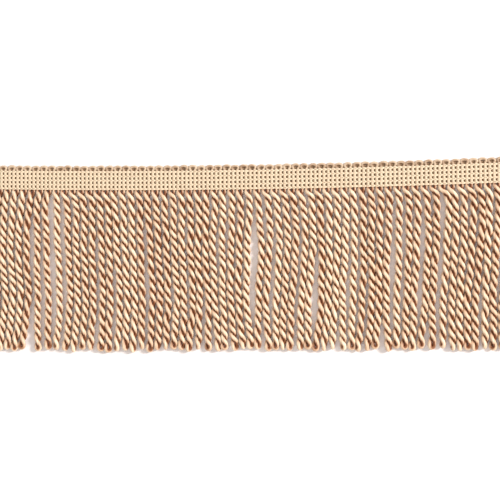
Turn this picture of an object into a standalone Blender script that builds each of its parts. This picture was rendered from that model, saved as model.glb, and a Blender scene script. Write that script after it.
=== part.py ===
"""Bullion fringe trim: a cut length lying flat, face up.

A narrow crochet-knit heading runs along X. A fringe of twisted cords hangs from its lower
edge towards -Y, and a picot edging of small loops stands along its upper edge. Z is up and
the trim lies on z = 0. The origin is the middle of the underside of the whole piece.
"""

import random
from collections import namedtuple

import bmesh
import bpy

MM = 0.001

# Driving dimensions
CORD_PITCH = 3.56 * MM
CORD_WIDTH = 2.5 * MM
CORD_HEIGHT = 3.0 * MM
CORD_LENGTH = 65.2 * MM
TIP_SLOPE = 0.017
END_UNEVENNESS = 0.7 * MM
SPINE_DEPTH = 1.5 * MM
HEADING_WIDTH = 8.4 * MM
HEADING_THICKNESS = 2.0 * MM
HEADING_VALLEY = 1.6 * MM
HEADING_SELVEDGE = 1.2 * MM
CHAIN_ROWS = 5
LOOP_BAND = 2.1 * MM
LOOP_VALLEY = 1.3 * MM
LOOP_THICKNESS = 1.5 * MM
LOOP_ROUNDING = 0.5 * MM
PART_GAP = 0.3 * MM
TOOTH_GAP = 0.35 * MM

# The heading bows: it is lowest a little left of the middle and climbs towards both ends.
# The tips of the cords lie on a straight line that climbs slightly to the right, so the
# cords are CORD_LENGTH long in the middle and a little longer towards the ends.
BOW_LOW_X = -22.0 * MM
BOW_SPAN = 123.0 * MM
BOW_RISE = 1.9 * MM

# How the cords lie, in clusters from left to right. The shifts are sideways in millimetres,
# to the right where positive, at four places down the cord; the pitches are the spacing
# inside the cluster three quarters of the way down and at the tips.
Cluster = namedtuple("Cluster", "cords shoulder mid low tip low_pitch tip_pitch")
CLUSTERS = [
    Cluster(2, -0.3, -0.6, -0.1, -1.4, 3.4, 3.4),
    Cluster(3, -0.6, -1.4, -0.6, -2.3, 3.4, 3.3),
    Cluster(4, -0.9, -2.1, -1.1, -3.9, 3.4, 3.2),
    Cluster(1, -0.9, -1.0, -0.8, -0.6, 3.5, 3.5),
    Cluster(1, -0.9, -0.5, 0.3, 0.3, 3.5, 3.5),
    Cluster(1, 0.4, 0.9, 1.8, 0.3, 3.5, 3.5),
    Cluster(1, 1.3, 1.9, 2.7, 0.7, 3.5, 3.5),
    Cluster(3, 1.7, 1.7, 2.4, 0.8, 3.4, 3.6),
    Cluster(2, 1.4, 2.0, 2.5, 1.6, 3.2, 3.0),
    Cluster(4, 0.7, 1.4, 2.4, 1.6, 3.2, 3.5),
    Cluster(3, 0.6, 1.6, 2.4, 1.2, 3.3, 3.4),
    Cluster(2, 0.8, 1.0, 2.1, 0.8, 3.0, 3.6),
    Cluster(2, 0.9, 0.7, 1.6, 0.2, 2.8, 4.2),
    Cluster(2, 0.5, -0.2, 0.9, 1.7, 2.8, 4.2),
    Cluster(1, 0.2, 0.0, 0.3, 0.4, 3.5, 3.5),
    Cluster(3, 0.6, 0.0, -0.3, 1.6, 3.3, 3.3),
    Cluster(1, 0.7, 2.0, 0.8, -0.8, 3.5, 3.5),
    Cluster(1, 1.5, 1.8, 0.4, 1.5, 3.5, 3.5),
    Cluster(3, 1.4, 2.1, 0.7, -0.2, 3.2, 3.0),
    Cluster(2, 1.4, 2.0, 0.3, 0.0, 2.8, 3.4),
    Cluster(3, 1.1, 1.4, 0.9, -0.9, 2.8, 3.3),
    Cluster(1, 0.9, 0.7, -0.6, 0.0, 3.5, 3.5),
    Cluster(2, 0.7, 0.9, 0.3, -0.9, 3.8, 2.8),
    Cluster(2, 0.7, 0.3, 0.3, -1.3, 2.8, 3.3),
    Cluster(1, 0.8, -0.2, -1.1, 0.3, 3.5, 3.5),
    Cluster(1, 0.8, 0.8, 0.1, -0.8, 3.5, 3.5),
    Cluster(2, 1.1, 1.0, 0.0, -0.7, 2.8, 3.3),
    Cluster(2, 1.5, 1.5, 0.2, -0.7, 2.9, 4.6),
    Cluster(1, 2.4, 2.0, 0.7, 0.1, 3.5, 3.5),
    Cluster(4, 1.6, 1.3, -0.3, -0.4, 3.1, 2.9),
    Cluster(2, 0.9, 0.1, -1.0, -1.1, 3.0, 3.5),
    Cluster(3, 0.6, 0.5, -1.8, -1.8, 3.1, 3.3),
    Cluster(4, -0.2, -0.7, -1.0, -0.8, 3.2, 3.3),
]
# Where those four places are, as shares of a cord's length, after its root at 0
PLACES = (0.0, 0.08, 0.36, 0.68, 1.0)
# Where a cord of the solid has its cross-sections, and how full each one is
SECTIONS = ((0.08, 1.0), (0.36, 1.0), (0.52, 1.0), (0.68, 1.0), (0.97, 1.0), (1.0, 0.5))
# A cord cut across, as shares of half its width and of its height: flat where it lies,
# widest below its middle and narrower on top
CORD_SECTION = ((-0.75, 0.0), (-1.0, 0.4), (-0.5, 1.0), (0.5, 1.0), (1.0, 0.4), (0.75, 0.0))
# Where one chain row of the heading has its crest, and where one edge loop has its crown
CHAIN_CREST = (0.25, 0.75)
LOOP_CROWN = (0.3, 0.7)
HEADING_STATIONS = 20

CORD_COUNT = sum(cluster.cords for cluster in CLUSTERS)
LENGTH = CORD_COUNT * CORD_PITCH
UNEVEN_SEED = 7

# Linear colours
CREAM = (0.71, 0.55, 0.39)
TAN = (0.55, 0.37, 0.25)
COPPER_CREAM = (0.69, 0.53, 0.39)


def bow(x):
    """How far the heading has climbed at x."""
    return BOW_RISE * ((x - BOW_LOW_X) / BOW_SPAN) ** 2


def heading_edge(x):
    """The y of the heading's lower edge at x, with the whole trim centred on the origin."""
    above = HEADING_WIDTH + PART_GAP + LOOP_BAND + bow(LENGTH / 2)
    below = PART_GAP + CORD_LENGTH + TIP_SLOPE * LENGTH / 2 + END_UNEVENNESS
    return (below - above) / 2 + bow(x)


def cord_length(x):
    """How long a cord with its root at x is, before its own unevenness."""
    return CORD_LENGTH + bow(x) - TIP_SLOPE * x


def smooth_curve(places, values, at):
    """A smooth curve through the values, read at one place (cubic, with averaged slopes)."""
    last = len(places) - 1

    def slope(i):
        before, after = max(i - 1, 0), min(i + 1, last)
        return (values[after] - values[before]) / (places[after] - places[before])

    i = next((k for k in range(last) if at <= places[k + 1]), last - 1)
    width = places[i + 1] - places[i]
    t = (at - places[i]) / width
    return (
        (2 * t**3 - 3 * t**2 + 1) * values[i]
        + (t**3 - 2 * t**2 + t) * width * slope(i)
        + (3 * t**2 - 2 * t**3) * values[i + 1]
        + (t**3 - t**2) * width * slope(i + 1)
    )


def root_of(cord):
    """The x at which a cord leaves the heading."""
    return (cord - (CORD_COUNT - 1) / 2) * CORD_PITCH


def cord_routes():
    """For each cord its root x, its x at each of PLACES and its length."""
    uneven = random.Random(UNEVEN_SEED)
    routes = []
    for cluster in CLUSTERS:
        for member in range(cluster.cords):
            root = root_of(len(routes))
            side = member - (cluster.cords - 1) / 2
            low_squeeze = side * (cluster.low_pitch * MM - CORD_PITCH)
            tip_squeeze = side * (cluster.tip_pitch * MM - CORD_PITCH)
            xs = [
                root,
                root + cluster.shoulder * MM,
                root + cluster.mid * MM + low_squeeze / 2,
                root + cluster.low * MM + low_squeeze,
                root + cluster.tip * MM + tip_squeeze,
            ]
            if routes:
                closest = CORD_WIDTH + TOOTH_GAP
                xs = [max(x, left + closest) for x, left in zip(xs, routes[-1][1])]
            length = cord_length(root) + uneven.uniform(-1, 1) * END_UNEVENNESS
            routes.append((root, xs, length))
    return routes


def material(name, colour, roughness):
    made = bpy.data.materials.new(name)
    made.use_nodes = True
    shader = made.node_tree.nodes["Principled BSDF"]
    shader.inputs["Base Color"].default_value = (*colour, 1.0)
    shader.inputs["Roughness"].default_value = roughness
    shader.inputs["Metallic"].default_value = 0.0
    return made


def add_object(name, mesh_builder, surface):
    """Turns a finished bmesh into a named object with its faces pointing out."""
    bmesh.ops.recalc_face_normals(mesh_builder, faces=mesh_builder.faces)
    mesh = bpy.data.meshes.new(name)
    mesh_builder.to_mesh(mesh)
    mesh_builder.free()
    mesh.materials.append(surface)
    placed = bpy.data.objects.new(name, mesh)
    bpy.context.scene.collection.objects.link(placed)
    return placed


def join_rings(built, first, second):
    """Closes the side between two rings of the same number of corners."""
    for k in range(len(first)):
        after = (k + 1) % len(first)
        built.faces.new((first[k], first[after], second[after], second[k]))


def sweep(name, rings, surface):
    """One closed body through a row of rings."""
    built = bmesh.new()
    corners = [[built.verts.new(point) for point in ring] for ring in rings]
    for first, second in zip(corners, corners[1:]):
        join_rings(built, first, second)
    built.faces.new(corners[0])
    built.faces.new(corners[-1])
    return add_object(name, built, surface)


def heading_ring(x):
    """The knit band cut across: flat below, five rows of chain stitch as ridges above."""
    row = HEADING_WIDTH / CHAIN_ROWS
    profile = [(0.0, 0.0), (0.0, HEADING_SELVEDGE)]
    for chain in range(CHAIN_ROWS):
        for share in CHAIN_CREST:
            profile.append(((chain + share) * row, HEADING_THICKNESS))
        if chain < CHAIN_ROWS - 1:
            profile.append(((chain + 1) * row, HEADING_VALLEY))
    profile += [(HEADING_WIDTH, HEADING_SELVEDGE), (HEADING_WIDTH, 0.0)]
    return [(x, heading_edge(x) + across, up) for across, up in profile]


def build_heading(surface):
    steps = range(HEADING_STATIONS + 1)
    rings = [heading_ring(LENGTH * (k / HEADING_STATIONS - 0.5)) for k in steps]
    return sweep("heading", rings, surface)


def loop_ring(x, reach):
    """The picot edging cut across, standing out by reach above the heading."""
    base = heading_edge(x) + HEADING_WIDTH + PART_GAP
    return [
        (x, base, 0.0),
        (x, base + reach, 0.0),
        (x, base + reach - LOOP_ROUNDING, LOOP_THICKNESS),
        (x, base, LOOP_THICKNESS),
    ]


def build_edge_loops(surface):
    """One small round loop between each cord and the next, joined at the valleys."""
    rings = [loop_ring(-LENGTH / 2, LOOP_VALLEY), loop_ring(root_of(0), LOOP_VALLEY)]
    for cord in range(CORD_COUNT - 1):
        for share in LOOP_CROWN:
            rings.append(loop_ring(root_of(cord) + share * CORD_PITCH, LOOP_BAND))
        rings.append(loop_ring(root_of(cord + 1), LOOP_VALLEY))
    rings.append(loop_ring(LENGTH / 2, LOOP_VALLEY))
    return sweep("edge_loops", rings, surface)


def cord_ring(x, y, fullness):
    """A cord cut across at x and y; fullness under 1 draws it in, as at its tip."""
    half = fullness * CORD_WIDTH / 2
    height = (0.5 + fullness / 2) * CORD_HEIGHT
    return [(x + across * half, y, up * height) for across, up in CORD_SECTION]


def build_fringe(surface):
    """The comb: a narrow spine under the heading, and one tooth for each twisted cord."""
    built = bmesh.new()
    routes = cord_routes()
    roots = []
    backs = []
    for root, xs, length in routes:
        y = heading_edge(root) - PART_GAP
        ring = [built.verts.new(p) for p in cord_ring(root, y - SPINE_DEPTH, 1.0)]
        back = [built.verts.new((v.co.x, y, v.co.z)) for v in (ring[0], ring[2], ring[3], ring[5])]
        roots.append(ring)
        backs.append(back)
        for share, fullness in SECTIONS:
            x = smooth_curve(PLACES, xs, share)
            points = cord_ring(x, y - share * length, fullness)
            after = [built.verts.new(p) for p in points]
            join_rings(built, ring, after)
            ring = after
        built.faces.new(ring)
    for ring, back in zip(roots, backs):
        built.faces.new((back[1], back[2], ring[3], ring[2]))
        built.faces.new((back[0], back[3], ring[5], ring[0]))
        built.faces.new(back)
    for i in range(CORD_COUNT - 1):
        left, right = roots[i], roots[i + 1]
        left_back, right_back = backs[i], backs[i + 1]
        built.faces.new((left_back[2], right_back[1], right[2], left[3]))
        built.faces.new((left_back[3], right_back[0], right[0], left[5]))
        built.faces.new((left_back[2], right_back[1], right_back[0], left_back[3]))
        built.faces.new((left[3], right[2], right[1], right[0], left[5], left[4]))
    first, first_back = roots[0], backs[0]
    last, last_back = roots[-1], backs[-1]
    built.faces.new((first[0], first[1], first[2], first_back[1], first_back[0]))
    built.faces.new((last[5], last[4], last[3], last_back[2], last_back[3]))
    return add_object("fringe", built, surface)


def main():
    for old in list(bpy.data.objects):
        bpy.data.objects.remove(old, do_unlink=True)
    build_heading(material("heading_yarn", CREAM, 0.75))
    build_edge_loops(material("loop_yarn", COPPER_CREAM, 0.65))
    build_fringe(material("fringe_cord", TAN, 0.6))


main()
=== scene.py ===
"""Bullion fringe trim: the looks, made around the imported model.

One cream and tan yarn makes nearly all of it. It runs to and fro across the heading as the
weft and turns back at the top in small picot loops. Below the heading each pair of its legs
is twisted into a cord, which ends in a small eyelet where the yarn turns back. Five rows of
fine chain stitch bind the weft. The trim lies on z = 0, with X along the heading, Y towards
the picots and Z up, in metres.
"""

import math
import random
from collections import namedtuple

import bpy
import numpy as np
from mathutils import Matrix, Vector


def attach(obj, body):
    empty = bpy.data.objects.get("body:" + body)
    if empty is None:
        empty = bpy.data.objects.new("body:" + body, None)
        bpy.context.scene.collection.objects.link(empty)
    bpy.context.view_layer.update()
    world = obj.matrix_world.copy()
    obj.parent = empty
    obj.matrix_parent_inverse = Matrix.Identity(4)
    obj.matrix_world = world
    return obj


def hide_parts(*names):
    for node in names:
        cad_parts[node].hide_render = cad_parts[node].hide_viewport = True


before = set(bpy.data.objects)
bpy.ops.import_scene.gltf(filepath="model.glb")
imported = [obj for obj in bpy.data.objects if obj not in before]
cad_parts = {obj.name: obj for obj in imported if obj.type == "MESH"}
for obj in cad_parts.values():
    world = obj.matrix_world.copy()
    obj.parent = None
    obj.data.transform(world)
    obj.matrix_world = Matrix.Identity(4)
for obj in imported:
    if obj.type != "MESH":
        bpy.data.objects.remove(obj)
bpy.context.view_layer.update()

MM = 0.001
UP = np.array((0.0, 0.0, 1.0))

# The trim's layout, as in part.py
CORD_PITCH = 3.56 * MM
CORD_WIDTH = 2.5 * MM
CORD_LENGTH = 65.2 * MM
TIP_SLOPE = 0.017
END_UNEVENNESS = 0.7 * MM
HEADING_WIDTH = 8.4 * MM
CHAIN_ROWS = 5
LOOP_BAND = 2.1 * MM
PART_GAP = 0.3 * MM
TOOTH_GAP = 0.35 * MM
BOW_LOW_X = -22.0 * MM
BOW_SPAN = 123.0 * MM
BOW_RISE = 1.9 * MM

# Neighbouring cords lie in clusters. Shoulder, mid, low and tip say how far to the right of its
# root a cord is there, and the pitches how far apart a cluster's cords are at low and at tip,
# in millimetres. PLACES gives these places, after the root, as shares of a cord's length.
Cluster = namedtuple("Cluster", "cords shoulder mid low tip low_pitch tip_pitch")
CLUSTERS = [
    Cluster(2, -0.3, -0.6, -0.1, -1.4, 3.4, 3.4),
    Cluster(3, -0.6, -1.4, -0.6, -2.3, 3.4, 3.3),
    Cluster(4, -0.9, -2.1, -1.1, -3.9, 3.4, 3.2),
    Cluster(1, -0.9, -1.0, -0.8, -0.6, 3.5, 3.5),
    Cluster(1, -0.9, -0.5, 0.3, 0.3, 3.5, 3.5),
    Cluster(1, 0.4, 0.9, 1.8, 0.3, 3.5, 3.5),
    Cluster(1, 1.3, 1.9, 2.7, 0.7, 3.5, 3.5),
    Cluster(3, 1.7, 1.7, 2.4, 0.8, 3.4, 3.6),
    Cluster(2, 1.4, 2.0, 2.5, 1.6, 3.2, 3.0),
    Cluster(4, 0.7, 1.4, 2.4, 1.6, 3.2, 3.5),
    Cluster(3, 0.6, 1.6, 2.4, 1.2, 3.3, 3.4),
    Cluster(2, 0.8, 1.0, 2.1, 0.8, 3.0, 3.6),
    Cluster(2, 0.9, 0.7, 1.6, 0.2, 2.8, 4.2),
    Cluster(2, 0.5, -0.2, 0.9, 1.7, 2.8, 4.2),
    Cluster(1, 0.2, 0.0, 0.3, 0.4, 3.5, 3.5),
    Cluster(3, 0.6, 0.0, -0.3, 1.6, 3.3, 3.3),
    Cluster(1, 0.7, 2.0, 0.8, -0.8, 3.5, 3.5),
    Cluster(1, 1.5, 1.8, 0.4, 1.5, 3.5, 3.5),
    Cluster(3, 1.4, 2.1, 0.7, -0.2, 3.2, 3.0),
    Cluster(2, 1.4, 2.0, 0.3, 0.0, 2.8, 3.4),
    Cluster(3, 1.1, 1.4, 0.9, -0.9, 2.8, 3.3),
    Cluster(1, 0.9, 0.7, -0.6, 0.0, 3.5, 3.5),
    Cluster(2, 0.7, 0.9, 0.3, -0.9, 3.8, 2.8),
    Cluster(2, 0.7, 0.3, 0.3, -1.3, 2.8, 3.3),
    Cluster(1, 0.8, -0.2, -1.1, 0.3, 3.5, 3.5),
    Cluster(1, 0.8, 0.8, 0.1, -0.8, 3.5, 3.5),
    Cluster(2, 1.1, 1.0, 0.0, -0.7, 2.8, 3.3),
    Cluster(2, 1.5, 1.5, 0.2, -0.7, 2.9, 4.6),
    Cluster(1, 2.4, 2.0, 0.7, 0.1, 3.5, 3.5),
    Cluster(4, 1.6, 1.3, -0.3, -0.4, 3.1, 2.9),
    Cluster(2, 0.9, 0.1, -1.0, -1.1, 3.0, 3.5),
    Cluster(3, 0.6, 0.5, -1.8, -1.8, 3.1, 3.3),
    Cluster(4, -0.2, -0.7, -1.0, -0.8, 3.2, 3.3),
]
PLACES = (0.0, 0.08, 0.36, 0.68, 1.0)
CORD_COUNT = sum(cluster.cords for cluster in CLUSTERS)
LENGTH = CORD_COUNT * CORD_PITCH
UNEVEN_SEED = 7

# Where the looks' own random draws start, for each sub-part
CORD_SEED = 11
WEFT_SEED = 12
CHAIN_SEED = 13
PICOT_SEED = 14

# The yarn: four strands laid together, with a groove between each two
STRANDS = 4
STRAND_LAY = 11.0 * MM
YARN_SIDES = 12
GROOVE_DEPTH = 0.12
# The crest value given to each groove between strands: lower, so the material paints a thin line of
# shade along it
GROOVE_SHADE_CREST = 0.84
STRAND_CONTRAST = 0.8
RESTING_HEIGHT = 0.01 * MM

# The legs of yarn that cross the heading, which a chain row pinches and presses down
LEG_PITCH = CORD_PITCH / 2
LEG_COUNT = 2 * CORD_COUNT
LEG_RADIUS = 0.52 * MM
LEG_HEIGHT = 1.0 * MM
LEG_BULGE = 0.15 * MM
LEG_SWAY = 0.07 * MM
LEG_SWAY_WAVE = 4 * MM
LEG_STEPS = 27
LEG_FULLNESS = 0.08 * MM
LEG_PINCH = 0.05 * MM

# A cord: two plies of yarn. COVERED is how much of it is above its root, under a chain row.
PLY_RADIUS = 0.84 * MM
PLY_OFFSET = 0.79 * MM
ROOT_SQUASH = 0.08
TIP_SQUASH = 0.03
CORD_HEIGHT = 1.63 * MM
CORD_LAY = 8.6 * MM
COVERED = 0.9 * MM
EYELET_RADIUS = (0.8 * MM, 1.05 * MM)
CORD_STEPS = 156
EYELET_STEPS = 9
CORD_PIECES = 5

# The stretches of a cord over which it changes, from its root or back from its end
TWIST_STARTS = (-COVERED, 0.7 * MM)
YARN_SWELLS = (-0.6 * MM, 0.9 * MM)
COMES_CLEAR = (0, 3 * MM)
LOSES_SQUASH = (2 * MM, 7 * MM)
TWIST_SLOWS = 1.5 * MM
TWIST_LOST = 0.8
PLIES_PART = 2.4 * MM

# How uneven a cord is. A route wave's shortest, longest and size are in millimetres.
LAY_SPREAD = 0.09
RouteWave = namedtuple("RouteWave", "shortest longest size")
ROUTE_WAVES = [RouteWave(14, 26, 0.17), RouteWave(7, 12, 0.07)]
TWIST_WAVE = 17 * MM
TWIST_UNEVENNESS = 0.16
THICKNESS_WAVE = 5.3 * MM
THICKNESS_UNEVENNESS = 0.035

# The picot loops, from the heading's lower edge. Lean, widening and unevenness, which says how
# far the shoulder moves, are in millimetres.
PICOT_RADIUS = 0.66 * MM
PICOT_BASE = 7.95 * MM
PICOT_SHOULDER = 9.35 * MM
PICOT_RISE = 0.75 * MM
PICOT_LEAN = 0.16
PICOT_WIDENING = (0.34, 0.46)
PICOT_UNEVENNESS = (-0.15, 0.1)
PICOT_FULLNESS = (0.7, 1.2)
PICOT_DROOP = 0.2 * MM
PICOT_SIDE_STEPS = 8
PICOT_BEND_STEPS = 12

# The chain stitch that binds the weft
FIRST_ROW = 0.86 * MM
ROW_PITCH = 1.76 * MM
CHAIN_RADIUS = 0.25 * MM
CHAIN_UNEVENNESS = (0.94, 1.08)
CHAIN_SIDES = 6
BACK_THREAD_HEIGHT = 0.3 * MM

# The web of fibres between the legs: across the heading, and up from the surface
WEB_ACROSS = (0.1 * MM, 9.4 * MM)
WEB_UP = (0.62 * MM, 0.8 * MM)

# Colours, from a yarn's lit crest to its deepest groove, each with its place on the ramp. Their
# deeper end is painted shade, laid on the grooves, the side facing in and the lower left flank.
CORD_COLOURS = [
    (0.12, (0.82, 0.68, 0.49)),
    (0.27, (0.74, 0.53, 0.36)),
    (0.50, (0.67, 0.42, 0.26)),
    (0.76, (0.20, 0.06, 0.015)),
]
WEFT_COLOURS = [(0.2, (0.66, 0.52, 0.36)), (0.5, (0.56, 0.41, 0.27)), (0.9, (0.32, 0.20, 0.11))]
CHAIN_COLOURS = [(0.2, (0.82, 0.66, 0.47)), (0.5, (0.68, 0.50, 0.34)), (0.9, (0.36, 0.22, 0.12))]
PICOT_COLOURS = [
    (0.12, (0.60, 0.45, 0.31)),
    (0.30, (0.44, 0.29, 0.18)),
    (0.62, (0.17, 0.075, 0.03)),
]
# The web's colours are deep brown as painted shade, standing for the shade down the holes between the
# legs
WEB_SHADE_COLOURS = [(0.3, (0.18, 0.10, 0.05)), (0.7, (0.34, 0.22, 0.12))]

# How fine the noise in the materials is: blotches and mottle for each metre, and fibres round
# the yarn and along each millimetre of it
BLOTCH_SCALE = 330.0
MOTTLE_SCALE = 2500.0
FIBRES_ROUND = 4.0
FIBRES_ALONG = 0.5

# How much the strand's tone and the fibres shift the shade, next to 1 for the blotches
TONE_DRIFT = 0.4
FIBRE_DRIFT = 0.8

# The studio: angles in degrees, the lamp's bearing from +X and its height above the floor
KEY_SIZE = 0.5
KEY_ENERGY = 42.0
KEY_BEARING = 18
KEY_HEIGHT = 36
KEY_DISTANCE = 2.0
SKY_COLOUR = (1.0, 0.975, 0.955, 1.0)
SKY_STRENGTH = 0.82
FLOOR_HALF = 6.0
FLOOR_COLOUR = (0.93, 0.885, 0.875, 1.0)

# The view: how wide it is at the trim, how far off, the sine of its turn to the right, and
# where its middle lies
VIEW_WIDTH = 204.2 * MM
VIEW_DISTANCE = 0.5
VIEW_TURN = 0.168
VIEW_X = -0.84 * MM
VIEW_BELOW_EDGE = 24.4 * MM


# ---------------------------------------------------------------- layout


def bow(x):
    """How far the heading has climbed at x."""
    return BOW_RISE * ((x - BOW_LOW_X) / BOW_SPAN) ** 2


def heading_edge(x):
    """The y of the heading's lower edge at x, with the whole trim centred on the origin."""
    above = HEADING_WIDTH + PART_GAP + LOOP_BAND + bow(LENGTH / 2)
    below = PART_GAP + CORD_LENGTH + TIP_SLOPE * LENGTH / 2 + END_UNEVENNESS
    return (below - above) / 2 + bow(x)


def cord_length(x):
    """How long a cord with its root at x is, before its own unevenness."""
    return CORD_LENGTH + bow(x) - TIP_SLOPE * x


def smooth_curve(places, values, at):
    """A smooth curve through the values, read at one place (cubic, with averaged slopes)."""
    last = len(places) - 1

    def slope(i):
        before, after = max(i - 1, 0), min(i + 1, last)
        return (values[after] - values[before]) / (places[after] - places[before])

    i = next((k for k in range(last) if at <= places[k + 1]), last - 1)
    width = places[i + 1] - places[i]
    t = (at - places[i]) / width
    return (
        (2 * t**3 - 3 * t**2 + 1) * values[i]
        + (t**3 - 2 * t**2 + t) * width * slope(i)
        + (3 * t**2 - 2 * t**3) * values[i + 1]
        + (t**3 - t**2) * width * slope(i + 1)
    )


def root_of(cord):
    """The x at which a cord leaves the heading."""
    return (cord - (CORD_COUNT - 1) / 2) * CORD_PITCH


def leg_x(leg):
    """The x of a leg of the weft; legs 2k and 2k + 1 go into cord k."""
    return (leg - (LEG_COUNT - 1) / 2) * LEG_PITCH


def cord_routes():
    """For each cord its root x, its x at each of PLACES and its length."""
    uneven = random.Random(UNEVEN_SEED)
    routes = []
    for cluster in CLUSTERS:
        for member in range(cluster.cords):
            root = root_of(len(routes))
            side = member - (cluster.cords - 1) / 2
            low_squeeze = side * (cluster.low_pitch * MM - CORD_PITCH)
            tip_squeeze = side * (cluster.tip_pitch * MM - CORD_PITCH)
            xs = [
                root,
                root + cluster.shoulder * MM,
                root + cluster.mid * MM + low_squeeze / 2,
                root + cluster.low * MM + low_squeeze,
                root + cluster.tip * MM + tip_squeeze,
            ]
            if routes:
                closest = CORD_WIDTH + TOOTH_GAP
                xs = [max(x, left + closest) for x, left in zip(xs, routes[-1][1])]
            length = cord_length(root) + uneven.uniform(-1, 1) * END_UNEVENNESS
            routes.append((root, xs, length))
    return routes


# ---------------------------------------------------------------- tubes of yarn


def ease(low, high, x):
    """0 at low, 1 at high, smooth between them and level beyond; low may be the larger."""
    t = np.clip((x - low) / (high - low), 0, 1)
    return t * t * (3 - 2 * t)


def blend(first, last, share):
    """first where share is 0, last where it is 1, and in between them elsewhere."""
    return first + (last - first) * share


def any_phase(chance):
    """A random starting angle, out of about one full turn."""
    return chance.uniform(0, 6.3)


def unit(vectors):
    return vectors / np.linalg.norm(vectors, axis=-1, keepdims=True)


def distance_along(path):
    steps = np.linalg.norm(np.diff(path, axis=0), axis=1)
    return np.concatenate(([0.0], np.cumsum(steps)))


# The gap round each tube's cell in the bake atlas, as a share of the whole map
ATLAS_MARGIN = 0.0015


class YarnMesh:
    """Collects tubes of yarn, all with the same number of sides, into one mesh object.

    Each point carries what its material needs: how far out it faces from the cord (crest),
    whether it is on the upper right flank of its yarn (flank) and the yarn's own tone. From the
    first two the material paints shade on the side facing in, in the grooves and on the lower
    left flank.
    The UV map Strand runs round and along each yarn, in turns and millimetres.
    """

    def __init__(self, sides):
        self.sides = sides
        self.tubes = []

    def add(self, path, outward, radius, turn, flank_sign=1.0, tone=0.5, strands=0, squash=0.0):
        """A tube along path, flattened where it would reach below the surface.

        turn is how far its strands have gone round it from outward, and squash how much
        thinner it is that way and wider across. With no strands it is plain.
        """
        count = len(path)
        tangent = unit(np.gradient(path, axis=0))
        normal = unit(outward - np.sum(outward * tangent, axis=1, keepdims=True) * tangent)
        binormal = np.cross(tangent, normal)
        corner = np.arange(self.sides)
        angle = 2 * math.pi * corner[None, :] / self.sides + np.broadcast_to(turn, count)[:, None]
        across = np.broadcast_to(radius, count)[:, None] * np.ones(self.sides)
        crest_for_shade = 0.5 + 0.5 * np.cos(angle)
        tones = np.full(angle.shape, tone)
        if strands:
            per_strand = self.sides // strands
            in_groove = corner % per_strand == 0
            across = across * np.where(in_groove, 1 - GROOVE_DEPTH, 1.0)
            # Painted shade: the corners in each groove also get a lower crest value, so the material
            # draws a thin darker line along it
            crest_for_shade = crest_for_shade * np.where(in_groove, GROOVE_SHADE_CREST, 1.0)
            tones = tones + STRAND_CONTRAST * ((corner // per_strand) % 2 - 0.5)
        flat = np.broadcast_to(squash, count)[:, None]
        points = (
            path[:, None, :]
            + ((1 - flat) * across * np.cos(angle))[..., None] * normal[:, None, :]
            + ((1 + flat) * across * np.sin(angle))[..., None] * binormal[:, None, :]
        )
        points[..., 2] = np.maximum(points[..., 2], RESTING_HEIGHT)
        sign = np.broadcast_to(flank_sign, count)[:, None]
        # Painted shade: the first channel (crest) darkens the side facing in and the grooves, the
        # second (flank) the lower left flank, away from the key light; the third is the yarn's own
        # tone
        shade = np.stack(
            (
                crest_for_shade,
                0.5 - 0.5 * np.sin(angle) * sign,
                tones,
                np.ones(angle.shape),
            ),
            axis=-1,
        )
        self.tubes.append((points, shade, distance_along(path) / MM))

    def faces_of(self, count):
        """The corners of one tube's side faces, and of its two ends."""
        k = self.sides
        ring = np.arange(count - 1)[:, None] * k
        corner = np.arange(k)[None, :]
        after = (corner + 1) % k
        sides = np.stack(
            (ring + corner, ring + after, ring + k + after, ring + k + corner), axis=-1
        ).reshape(-1, 4)
        return sides, np.arange(k)[::-1], (count - 1) * k + np.arange(k)

    def maps_of(self, along):
        """The Strand map's corners in the same order as faces_of gives them."""
        k = self.sides
        count = len(along)
        left = np.broadcast_to(np.arange(k) / k, (count - 1, k))
        right = left + 1 / k
        low = np.broadcast_to(along[:-1, None], (count - 1, k))
        high = np.broadcast_to(along[1:, None], (count - 1, k))
        sides = np.stack(
            (left, low, right, low, right, high, left, high), axis=-1
        ).reshape(-1, 2)
        ends = np.concatenate((np.full((k, 2), (0.5, along[0])), np.full((k, 2), (0.5, along[-1]))))
        return np.concatenate((sides, ends))

    def atlas_grid(self):
        """The columns and rows of a square map in which each tube's cell has its own shape."""
        widths = [np.ptp(points[0], axis=0).max() for points, _, _ in self.tubes]
        girth = 2 * math.pi * np.mean([width / 2 for width in widths]) / MM
        mean_length = np.mean([along[-1] for _, _, along in self.tubes])
        total = len(self.tubes)
        columns = min(total, max(1, round(math.sqrt(total * mean_length / girth))))
        return columns, math.ceil(total / columns)

    def build(self, name, surface):
        """The mesh object of all the tubes, with the Strand map and an atlas for baking."""
        points, shades, corners, sizes, strands, atlas = [], [], [], [], [], []
        columns, rows = self.atlas_grid()
        share = np.array((1 / columns, 1 / rows))
        offset = 0
        for index, (ring_points, shade, along) in enumerate(self.tubes):
            sides, start, end = self.faces_of(len(along))
            corners += [sides.reshape(-1) + offset, start + offset, end + offset]
            sizes.append(np.concatenate((np.full(len(sides), 4), (self.sides, self.sides))))
            strand = self.maps_of(along)
            strands.append(strand)
            cell = np.array((index % columns, index // columns))
            inside = strand / (1.0, along[-1])
            atlas.append((cell * share + ATLAS_MARGIN) + inside * (share - 2 * ATLAS_MARGIN))
            points.append(ring_points.reshape(-1, 3))
            shades.append(shade.reshape(-1, 4))
            offset += len(points[-1])
        return mesh_object(
            name,
            np.concatenate(points),
            np.concatenate(corners),
            np.concatenate(sizes),
            {"Strand": np.concatenate(strands), "OFBake": np.concatenate(atlas)},
            np.concatenate(shades),
            surface,
        )


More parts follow.
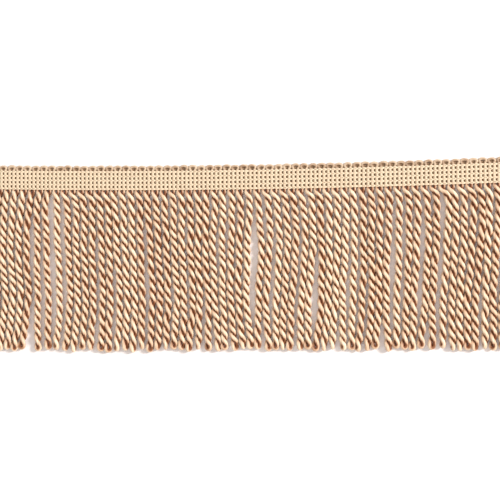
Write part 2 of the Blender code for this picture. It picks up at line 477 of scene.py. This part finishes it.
def mesh_object(name, points, corners, sizes, maps, shades, surface):
    """A smooth-shaded mesh object from flat arrays."""
    mesh = bpy.data.meshes.new(name)
    mesh.vertices.add(len(points))
    mesh.vertices.foreach_set("co", points.astype(np.float32).ravel())
    mesh.loops.add(len(corners))
    mesh.loops.foreach_set("vertex_index", corners.astype(np.int32))
    mesh.polygons.add(len(sizes))
    starts = np.concatenate(([0], np.cumsum(sizes)[:-1]))
    mesh.polygons.foreach_set("loop_start", starts.astype(np.int32))
    mesh.update(calc_edges=True)
    for title, uv in maps.items():
        mesh.uv_layers.new(name=title).uv.foreach_set("vector", uv.astype(np.float32).ravel())
    attribute = mesh.attributes.new("yarn", "FLOAT_COLOR", "POINT")
    attribute.data.foreach_set("color", shades.astype(np.float32).ravel())
    mesh.validate()
    mesh.shade_smooth()
    mesh.materials.append(surface)
    placed = bpy.data.objects.new(name, mesh)
    bpy.context.scene.collection.objects.link(placed)
    return placed


# ---------------------------------------------------------------- cords


def cord_axis(route, down, wander):
    """The middle line of a cord at each distance down it from its root."""
    root, xs, length = route
    share = np.clip(down, 0, None) / length
    leaning = np.array([smooth_curve(PLACES, xs, t) for t in share]) - root
    clear = ease(*COMES_CLEAR, down)
    x = root + leaning * clear
    for wave, size, phase in wander:
        x = x + size * np.sin(2 * math.pi * down / wave + phase) * clear
    y = heading_edge(root) - PART_GAP - down
    z = blend(LEG_HEIGHT, CORD_HEIGHT, clear)
    return np.stack((x, y, z), axis=-1)


def twist_of(down, lay, phase):
    """How far the plies have wound round each other at each distance down the cord."""
    end = down[-1]
    rate = 2 * math.pi / lay * ease(*TWIST_STARTS, down)
    rate = rate * (1 - TWIST_LOST * ease(end - TWIST_SLOWS, end, down))
    rate = rate * (1 + TWIST_UNEVENNESS * np.sin(2 * math.pi * down / TWIST_WAVE + phase))
    step = down[1] - down[0]
    return np.concatenate(([0.0], np.cumsum((rate[1:] + rate[:-1]) / 2 * step)))


def there_and_back(down, eyelet):
    """Values down one ply, at the eyelet, and back up the other ply."""
    return np.concatenate((down, np.full(EYELET_STEPS, eyelet), down[::-1]))


def spread_of(down, eyelet):
    """How far each ply's middle is from the cord's, from the legs to the eyelet."""
    end = down[-1]
    spread = blend(LEG_PITCH / 2, PLY_OFFSET, ease(*COMES_CLEAR, down))
    return spread + (eyelet - PLY_OFFSET) * ease(end - PLIES_PART, end, down)


def yarn_route(axis, angle, spread, eyelet):
    """The yarn down one ply, round the eyelet and back up the other.

    Returns its points, the way outward from the cord at each, and the side its flank is on.
    """
    tangent = unit(np.gradient(axis, axis=0))
    right = unit(np.cross(UP, tangent))
    front = np.cross(tangent, right)
    lift = np.minimum(spread, PLY_OFFSET)
    outward = np.cos(angle)[:, None] * right + np.sin(angle)[:, None] * front
    offset = (spread * np.cos(angle))[:, None] * right + (lift * np.sin(angle))[:, None] * front

    bend = np.linspace(0, math.pi, EYELET_STEPS + 2)[1:-1, None]
    loop = axis[-1] + np.cos(bend) * offset[-1] + np.sin(bend) * eyelet * tangent[-1]
    loop_out = np.cos(bend) * outward[-1] + np.sin(bend) * tangent[-1]

    path = np.concatenate((axis + offset, loop, (axis - offset)[::-1]))
    outward = np.concatenate((outward, loop_out, -outward[::-1]))
    flank_sign = np.concatenate((np.ones(CORD_STEPS), np.cos(bend[:, 0]), -np.ones(CORD_STEPS)))
    return path, outward, flank_sign


def thickness_of(down, along, phase):
    """The yarn's radius: it swells out of the heading, and is a little uneven."""
    thick = blend(LEG_RADIUS, PLY_RADIUS, ease(*YARN_SWELLS, down))
    swelling = np.sin(2 * math.pi * along / THICKNESS_WAVE + phase)
    return there_and_back(thick, thick[-1]) * (1 + THICKNESS_UNEVENNESS * swelling)


def squash_of(down):
    """How flat the yarn is pressed, none under the chain rows and most just below them."""
    squash = blend(ROOT_SQUASH, TIP_SQUASH, ease(*LOSES_SQUASH, down))
    return there_and_back(squash * ease(*COMES_CLEAR, down), TIP_SQUASH)


def add_cord(bundle, route, chance):
    """Two plies twisted together, made of one yarn that turns back in an eyelet at the tip."""
    lay = CORD_LAY * (1 + chance.uniform(-LAY_SPREAD, LAY_SPREAD))
    eyelet = chance.uniform(*EYELET_RADIUS)
    wander = [
        (chance.uniform(wave.shortest, wave.longest) * MM, wave.size * MM, any_phase(chance))
        for wave in ROUTE_WAVES
    ]
    length = route[2]
    down = np.linspace(-COVERED, length - eyelet - PLY_RADIUS, CORD_STEPS)
    axis = cord_axis(route, down, wander)
    wound = twist_of(down, lay, any_phase(chance))
    spread = spread_of(down, eyelet)
    path, outward, flank_sign = yarn_route(axis, math.pi - wound, spread, eyelet)

    along = distance_along(path)
    back = 2 * wound[-1] - wound[::-1]
    gone_round = np.concatenate((wound, np.full(EYELET_STEPS, wound[-1]), back))
    turn = gone_round + 2 * math.pi * along / STRAND_LAY + any_phase(chance)
    thick = thickness_of(down, along, any_phase(chance))
    bundle.add(path, outward, thick, turn, flank_sign, chance.random(), STRANDS, squash_of(down))


def build_cords(surface):
    """The cords, every fifth one in the same piece so that each piece runs the whole length."""
    chance = random.Random(CORD_SEED)
    bundles = [YarnMesh(YARN_SIDES) for _ in range(CORD_PIECES)]
    for number, route in enumerate(cord_routes()):
        add_cord(bundles[number % CORD_PIECES], route, chance)
    made = []
    for number, bundle in enumerate(bundles):
        piece = bundle.build(f"cords_{number + 1}", surface)
        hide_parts("fringe")
        made.append(piece)
    return made


# ---------------------------------------------------------------- heading


def build_weft(surface):
    """The legs of the yarn that cross the heading, drawn in a little at each chain row."""
    chance = random.Random(WEFT_SEED)
    bundle = YarnMesh(YARN_SIDES)
    low, high = 0.5 * MM, 8.1 * MM
    across = np.linspace(low, high, LEG_STEPS)
    free = ease(low, 2 * MM, across) * ease(high, 6.6 * MM, across)
    at_rows = np.cos(2 * math.pi * (across - FIRST_ROW) / ROW_PITCH)
    for leg in range(LEG_COUNT):
        x = leg_x(leg)
        sway = LEG_SWAY * np.sin(2 * math.pi * across / LEG_SWAY_WAVE + any_phase(chance))
        path = np.stack(
            (
                x + sway * free,
                heading_edge(x) + across,
                LEG_HEIGHT - LEG_BULGE * at_rows,
            ),
            axis=-1,
        )
        radius = (LEG_RADIUS + LEG_FULLNESS) - LEG_PINCH * at_rows
        turn = 2 * math.pi * across / STRAND_LAY + any_phase(chance)
        outward = np.tile(UP, (len(across), 1))
        bundle.add(path, outward, radius, turn, -1.0, chance.random(), STRANDS)
    piece = bundle.build("heading_weft", surface)
    return piece


# One chain stitch from above its leg of the weft: places along the row, across it and up, in
# millimetres. It comes up inside the stitch before it, spreads over the leg and closes.
STITCH = [
    (-0.95, 0.03, 0.72),
    (-0.62, 0.15, 1.1),
    (-0.25, 0.25, 1.36),
    (0.15, 0.28, 1.44),
    (0.55, 0.26, 1.42),
    (0.88, 0.18, 1.36),
    (1.06, 0.0, 1.32),
]
STITCH_RINGS = 17
STITCH_JITTER = 0.05


def stitch_path(chance):
    """The stitch's points, with its far side as a mirror image of its near one."""
    shape = STITCH + [(u, -v, z) for u, v, z in STITCH[-2::-1]]
    shape = np.array(shape) * MM
    uneven = [[chance.uniform(-STITCH_JITTER, STITCH_JITTER) * MM for _ in range(2)] for _ in shape]
    shape[:, :2] += np.array(uneven)
    places = distance_along(shape)
    places = places / places[-1]
    stations = np.linspace(0, 1, STITCH_RINGS)
    columns = [[smooth_curve(places, shape[:, c], t) for t in stations] for c in range(3)]
    return np.array(columns).T


def build_chains(surface):
    """Five rows of chain stitch over the weft, and the plain thread of each row behind it."""
    chance = random.Random(CHAIN_SEED)
    bundle = YarnMesh(CHAIN_SIDES)
    outward = np.tile(UP, (STITCH_RINGS, 1))
    for row in range(CHAIN_ROWS):
        across = FIRST_ROW + row * ROW_PITCH
        for leg in range(LEG_COUNT):
            path = stitch_path(chance)
            x = leg_x(leg) + path[:, 0]
            y = np.array([heading_edge(v) for v in x]) + across + path[:, 1]
            path = np.stack((x, y, path[:, 2]), axis=-1)
            radius = CHAIN_RADIUS * chance.uniform(*CHAIN_UNEVENNESS)
            bundle.add(path, outward, radius, 0.0, 1.0, chance.random())
        x = np.linspace(-LENGTH / 2, LENGTH / 2, LEG_COUNT + 1)
        y = np.array([heading_edge(v) for v in x]) + across
        path = np.stack((x, y, np.full(len(x), BACK_THREAD_HEIGHT)), axis=-1)
        bundle.add(path, np.tile(UP, (len(x), 1)), CHAIN_RADIUS, 0.0, 1.0, 0.5)
    piece = bundle.build("chain_stitches", surface)
    return piece


def build_ground(surface):
    """The thin web of fibres between the legs, halfway down, which closes the heading."""
    low, high = WEB_ACROSS
    bottom, top = WEB_UP
    xs = np.linspace(-LENGTH / 2, LENGTH / 2, LEG_COUNT + 1)
    verts, faces = [], []
    for x in xs:
        edge = heading_edge(x)
        for across, up in ((low, bottom), (low, top), (high, top), (high, bottom)):
            verts.append((x, edge + across, up))
    for i in range(LEG_COUNT):
        for j in range(4):
            a, b = 4 * i + j, 4 * i + (j + 1) % 4
            faces.append((a, a + 4, b + 4, b))
    faces.append((0, 1, 2, 3))
    faces.append(tuple(4 * LEG_COUNT + j for j in (3, 2, 1, 0)))
    mesh = bpy.data.meshes.new("heading_ground")
    mesh.from_pydata(verts, [], faces)
    mesh.update()
    mesh.materials.append(surface)
    piece = bpy.data.objects.new("heading_ground", mesh)
    bpy.context.scene.collection.objects.link(piece)
    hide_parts("heading")
    return piece


# ---------------------------------------------------------------- picots


def picot_path(left, right, chance):
    """A picot from its left leg to its right one, and how far up it each point reaches, 0 to 1."""
    middle = (left + right) / 2
    lean = chance.uniform(-PICOT_LEAN, PICOT_LEAN) * MM
    half = (right - left) / 2
    wide = half + chance.uniform(*PICOT_WIDENING) * MM
    shoulder = PICOT_SHOULDER + chance.uniform(*PICOT_UNEVENNESS) * MM
    climb = np.linspace(0, 1, PICOT_SIDE_STEPS)[:-1]
    bend = np.linspace(math.pi, 0, PICOT_BEND_STEPS)
    widening = (wide - half) * ease(0.5, 1, climb)
    up_x = middle - half - widening + lean * climb
    down_x = (middle + half + widening + lean * climb)[::-1]
    x = np.concatenate((up_x, middle + lean + wide * np.cos(bend), down_x))
    side = blend(PICOT_BASE, shoulder, climb)
    y = np.concatenate((side, shoulder + PICOT_RISE * np.sin(bend), side[::-1]))
    reach = (y - PICOT_BASE) / (shoulder + PICOT_RISE - PICOT_BASE)
    z = LEG_HEIGHT - PICOT_DROOP * reach
    return np.stack((x, heading_edge(middle) + y, z), axis=-1), reach


def build_picots(surface):
    """Where the weft turns back above the heading: a loop between each cord and the next."""
    chance = random.Random(PICOT_SEED)
    bundle = YarnMesh(YARN_SIDES)
    for cord in range(CORD_COUNT - 1):
        path, reach = picot_path(leg_x(2 * cord + 1), leg_x(2 * cord + 2), chance)
        outward = np.tile(UP, (len(path), 1))
        swelling = PICOT_RADIUS - LEG_RADIUS
        radius = LEG_RADIUS + swelling * ease(0.2, 0.8, reach) * chance.uniform(*PICOT_FULLNESS)
        turn = 2 * math.pi * distance_along(path) / STRAND_LAY + any_phase(chance)
        bundle.add(path, outward, radius, turn, 1.0, chance.random(), STRANDS)
    piece = bundle.build("picot_loops", surface)
    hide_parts("edge_loops")
    return piece


# ---------------------------------------------------------------- materials


def node(tree, kind, **settings):
    made = tree.nodes.new(kind)
    for name, value in settings.items():
        setattr(made, name, value)
    return made


def math_node(tree, operation, first, second=None, third=None):
    """A Math node; each operand is a socket or a number."""
    made = node(tree, "ShaderNodeMath", operation=operation)
    for index, value in enumerate((first, second, third)):
        if value is None:
            continue
        if isinstance(value, (int, float)):
            made.inputs[index].default_value = value
        else:
            tree.links.new(value, made.inputs[index])
    return made.outputs[0]


def noise_node(tree, vector, scale, detail=2.0):
    made = node(tree, "ShaderNodeTexNoise")
    made.inputs["Scale"].default_value = scale
    made.inputs["Detail"].default_value = detail
    tree.links.new(vector, made.inputs["Vector"])
    return made.outputs["Fac"]


def ramp_node(tree, factor, colours):
    """A colour ramp through each (place, colour)."""
    made = node(tree, "ShaderNodeValToRGB")
    elements = made.color_ramp.elements
    while len(elements) < len(colours):
        elements.new(0.5)
    for element, (place, colour) in zip(elements, colours):
        element.position = place
        element.color = (*colour, 1.0)
    tree.links.new(factor, made.inputs["Fac"])
    return made.outputs["Color"]


def fibre_height(tree):
    """Fine filaments along the yarn, from the Strand map, with no seam where a turn closes."""
    strand = node(tree, "ShaderNodeUVMap", uv_map="Strand")
    parts = node(tree, "ShaderNodeSeparateXYZ")
    tree.links.new(strand.outputs["UV"], parts.inputs[0])
    angle = math_node(tree, "MULTIPLY", parts.outputs["X"], 2 * math.pi)
    around = math_node(tree, "MULTIPLY", math_node(tree, "COSINE", angle), FIBRES_ROUND)
    beside = math_node(tree, "MULTIPLY", math_node(tree, "SINE", angle), FIBRES_ROUND)
    along = math_node(tree, "MULTIPLY", parts.outputs["Y"], FIBRES_ALONG)
    vector = node(tree, "ShaderNodeCombineXYZ")
    for index, socket in enumerate((around, beside, along)):
        tree.links.new(socket, vector.inputs[index])
    return noise_node(tree, vector.outputs[0], 1.6, 3.0)


def painted_shade_yarn_material(name, colours, flank, crest, drift):
    """Yarn with painted shade: its lower left flank, away from the key light, and its grooves are
    painted darker than its crest.

    flank and crest are how much darker this painted shade makes the far flank and the side
    facing in, on the ramp of colours, and drift how much the colour wanders from place to place
    and strand to strand.
    """
    made = bpy.data.materials.new(name)
    made.use_nodes = True
    tree = made.node_tree
    shader = tree.nodes["Principled BSDF"]
    shade = node(tree, "ShaderNodeAttribute", attribute_name="yarn")
    parts = node(tree, "ShaderNodeSeparateColor")
    tree.links.new(shade.outputs["Color"], parts.inputs[0])
    place = node(tree, "ShaderNodeTexCoord")
    blotches = noise_node(tree, place.outputs["Object"], BLOTCH_SCALE, 1.0)
    fibres = fibre_height(tree)

    # Painted shade: darker on the lower left flank (green) and on the side facing in and the grooves
    # (red); blotches, strand tone and fibres then add real wandering
    painted_shade_and_tone = math_node(tree, "MULTIPLY_ADD", parts.outputs["Green"], -flank, flank)
    groove_shade = math_node(tree, "MULTIPLY_ADD", parts.outputs["Red"], -crest, crest)
    painted_shade_and_tone = math_node(tree, "ADD", painted_shade_and_tone, groove_shade)
    painted_shade_and_tone = math_node(tree, "MULTIPLY_ADD", blotches, drift, painted_shade_and_tone)
    painted_shade_and_tone = math_node(tree, "MULTIPLY_ADD", parts.outputs["Blue"], drift * TONE_DRIFT, painted_shade_and_tone)
    painted_shade_and_tone = math_node(tree, "MULTIPLY_ADD", fibres, drift * FIBRE_DRIFT, painted_shade_and_tone)
    # Each of the three is about a half on average, and what they add is taken off again
    painted_shade_and_tone = math_node(tree, "SUBTRACT", painted_shade_and_tone, drift * (1 + TONE_DRIFT + FIBRE_DRIFT) / 2)
    tree.links.new(ramp_node(tree, painted_shade_and_tone, colours), shader.inputs["Base Color"])

    bump = node(tree, "ShaderNodeBump")
    bump.inputs["Strength"].default_value = 0.5
    bump.inputs["Distance"].default_value = 0.06 * MM
    tree.links.new(fibres, bump.inputs["Height"])
    tree.links.new(bump.outputs["Normal"], shader.inputs["Normal"])
    rough = math_node(tree, "MULTIPLY_ADD", fibres, 0.25, 0.45)
    tree.links.new(rough, shader.inputs["Roughness"])
    shader.inputs["Sheen Weight"].default_value = 0.15
    shader.inputs["Sheen Roughness"].default_value = 0.4
    return made


def ground_material():
    """The web between the legs: fine mottled deep brown, which is painted shade of the holes between
    the legs.
    """
    made = bpy.data.materials.new("ground_web_painted_shade")
    made.use_nodes = True
    tree = made.node_tree
    shader = tree.nodes["Principled BSDF"]
    place = node(tree, "ShaderNodeTexCoord")
    mottle = noise_node(tree, place.outputs["Object"], MOTTLE_SCALE, 3.0)
    colour = ramp_node(tree, mottle, WEB_SHADE_COLOURS)
    tree.links.new(colour, shader.inputs["Base Color"])
    bump = node(tree, "ShaderNodeBump")
    bump.inputs["Strength"].default_value = 0.6
    bump.inputs["Distance"].default_value = 0.1 * MM
    tree.links.new(mottle, bump.inputs["Height"])
    tree.links.new(bump.outputs["Normal"], shader.inputs["Normal"])
    shader.inputs["Roughness"].default_value = 0.85
    return made


def floor_material():
    made = bpy.data.materials.new("floor")
    made.use_nodes = True
    shader = made.node_tree.nodes["Principled BSDF"]
    shader.inputs["Base Color"].default_value = FLOOR_COLOUR
    shader.inputs["Roughness"].default_value = 0.9
    shader.inputs["Specular IOR Level"].default_value = 0.2
    return made


# ---------------------------------------------------------------- studio


def build_floor():
    half = FLOOR_HALF
    mesh = bpy.data.meshes.new("floor")
    corners = [(-half, -half, 0), (half, -half, 0), (half, half, 0), (-half, half, 0)]
    mesh.from_pydata(corners, [], [(0, 1, 2, 3)])
    mesh.materials.append(floor_material())
    floor = bpy.data.objects.new("floor", mesh)
    bpy.context.scene.collection.objects.link(floor)


def build_light():
    """A soft key from the right, a little towards the picots, and even light from all round."""
    key = bpy.data.lights.new("key", "AREA")
    key.shape = "DISK"
    key.size = KEY_SIZE
    key.energy = KEY_ENERGY
    lamp = bpy.data.objects.new("key", key)
    bearing, height = math.radians(KEY_BEARING), math.radians(KEY_HEIGHT)
    flat = math.cos(height)
    toward = Vector((math.cos(bearing) * flat, math.sin(bearing) * flat, math.sin(height)))
    lamp.location = toward * KEY_DISTANCE
    lamp.rotation_euler = toward.to_track_quat("Z", "Y").to_euler()
    bpy.context.scene.collection.objects.link(lamp)
    world = bpy.data.worlds.new("studio")
    world.use_nodes = True
    background = world.node_tree.nodes["Background"]
    background.inputs["Color"].default_value = SKY_COLOUR
    background.inputs["Strength"].default_value = SKY_STRENGTH
    bpy.context.scene.world = world


def build_camera():
    """The photograph's view: onto the face, from a little to the right of its middle."""
    data = bpy.data.cameras.new("camera")
    data.sensor_width = 36.0
    data.lens = data.sensor_width * VIEW_DISTANCE / VIEW_WIDTH
    camera = bpy.data.objects.new("camera", data)
    turn = math.asin(VIEW_TURN)
    target = Vector((VIEW_X, heading_edge(0) - VIEW_BELOW_EDGE, CORD_HEIGHT))
    camera.location = target + VIEW_DISTANCE * Vector((math.sin(turn), 0, math.cos(turn)))
    camera.rotation_euler = (0, turn, 0)
    bpy.context.scene.collection.objects.link(camera)
    bpy.context.scene.camera = camera
    bpy.context.scene.view_settings.view_transform = "Standard"


def main():
    build_camera()
    build_floor()
    build_light()
    cords = build_cords(painted_shade_yarn_material("cord_yarn", CORD_COLOURS, flank=0.3, crest=0.95, drift=0.4))
    weft = build_weft(painted_shade_yarn_material("weft_yarn", WEFT_COLOURS, flank=0.35, crest=0.35, drift=0.3))
    chains = build_chains(painted_shade_yarn_material("chain_yarn", CHAIN_COLOURS, flank=0.3, crest=0.35, drift=0.3))
    ground = build_ground(ground_material())
    picots = build_picots(painted_shade_yarn_material("loop_yarn", PICOT_COLOURS, flank=0.4, crest=0.35, drift=0.4))
    for piece in [*cords, weft, chains, ground, picots]:
        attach(piece, "root")


main()
